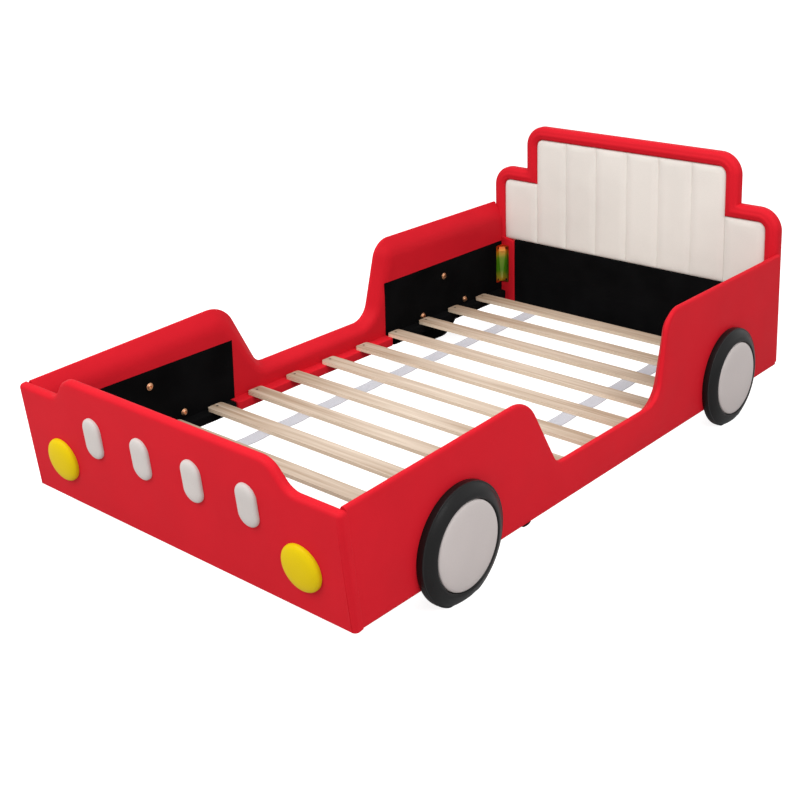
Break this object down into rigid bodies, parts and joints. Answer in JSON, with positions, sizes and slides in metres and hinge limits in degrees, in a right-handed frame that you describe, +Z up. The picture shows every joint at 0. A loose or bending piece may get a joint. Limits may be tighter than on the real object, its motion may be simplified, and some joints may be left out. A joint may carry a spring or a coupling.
{
  "type": "children's bed in the shape of a car",
  "caption": "Low upholstered child's bed shaped like a car: padded side panels with door cut-outs, false wheels, slatted base and a channelled headboard.",
  "frame": {"origin": "bottom centre of the whole bed, on the floor", "axes": "+X to the right as seen by someone facing the headboard from the front board, +Y from the front board to the headboard, +Z up"},
  "size_m": [1.206, 2.0608, 0.74],
  "materials": {
    "red_leatherette": "satin",
    "cream_leatherette": "satin",
    "pale_leatherette": "satin",
    "yellow_leatherette": "satin",
    "black_leatherette": "satin",
    "black_lining": "matt",
    "dust_cover": "matt",
    "board": "raw",
    "slat_plywood": "raw, sanded",
    "webbing": "woven",
    "plated_bracket": "yellow zinc plated",
    "plated_bolt": "copper coloured plating",
    "screw_steel": "dark"
  },
  "bodies": {
    "root": {"corner_brackets": "plated_bracket", "front_core": "board", "front_cover": "red_leatherette", "front_lining": "black_lining", "grille_pad_1": "pale_leatherette", "grille_pad_2": "pale_leatherette", "grille_pad_3": "pale_leatherette", "grille_pad_4": "pale_leatherette", "headboard_back": "dust_cover", "headboard_core": "board", "headboard_cover": "red_leatherette", "headboard_cushion": "cream_leatherette", "headboard_lower_panel": "black_lining", "headlight_pad_left": "yellow_leatherette", "headlight_pad_right": "yellow_leatherette", "hub_pad_front_left": "pale_leatherette", "hub_pad_front_right": "pale_leatherette", "hub_pad_rear_left": "pale_leatherette", "hub_pad_rear_right": "pale_leatherette", "ledge_front_left": "black_lining", "ledge_front_right": "black_lining", "ledge_middle_left": "red_leatherette", "ledge_middle_right": "red_leatherette", "ledge_rear_left": "black_lining", "ledge_rear_right": "black_lining", "side_core_left": "board", "side_core_right": "board", "side_cover_left": "red_leatherette", "side_cover_right": "red_leatherette", "side_lining_front_left": "black_lining", "side_lining_front_right": "black_lining", "side_lining_rear_left": "black_lining", "side_lining_rear_right": "black_lining", "slat_01": "slat_plywood", "slat_02": "slat_plywood", "slat_03": "slat_plywood", "slat_04": "slat_plywood", "slat_05": "slat_plywood", "slat_06": "slat_plywood", "slat_07": "slat_plywood", "slat_08": "slat_plywood", "slat_09": "slat_plywood", "slat_10": "slat_plywood", "slat_11": "slat_plywood", "slat_12": "slat_plywood", "straps": "webbing", "tyre_pad_front_left": "black_leatherette", "tyre_pad_front_right": "black_leatherette", "tyre_pad_rear_left": "black_leatherette", "tyre_pad_rear_right": "black_leatherette", "wheel_board_front_left": "board", "wheel_board_front_right": "board", "wheel_board_rear_left": "board", "wheel_board_rear_right": "board", "wheel_bolts": "plated_bolt", "wheel_inserts": "plated_bolt", "wood_screws": "screw_steel"}
  },
  "joints": []
}
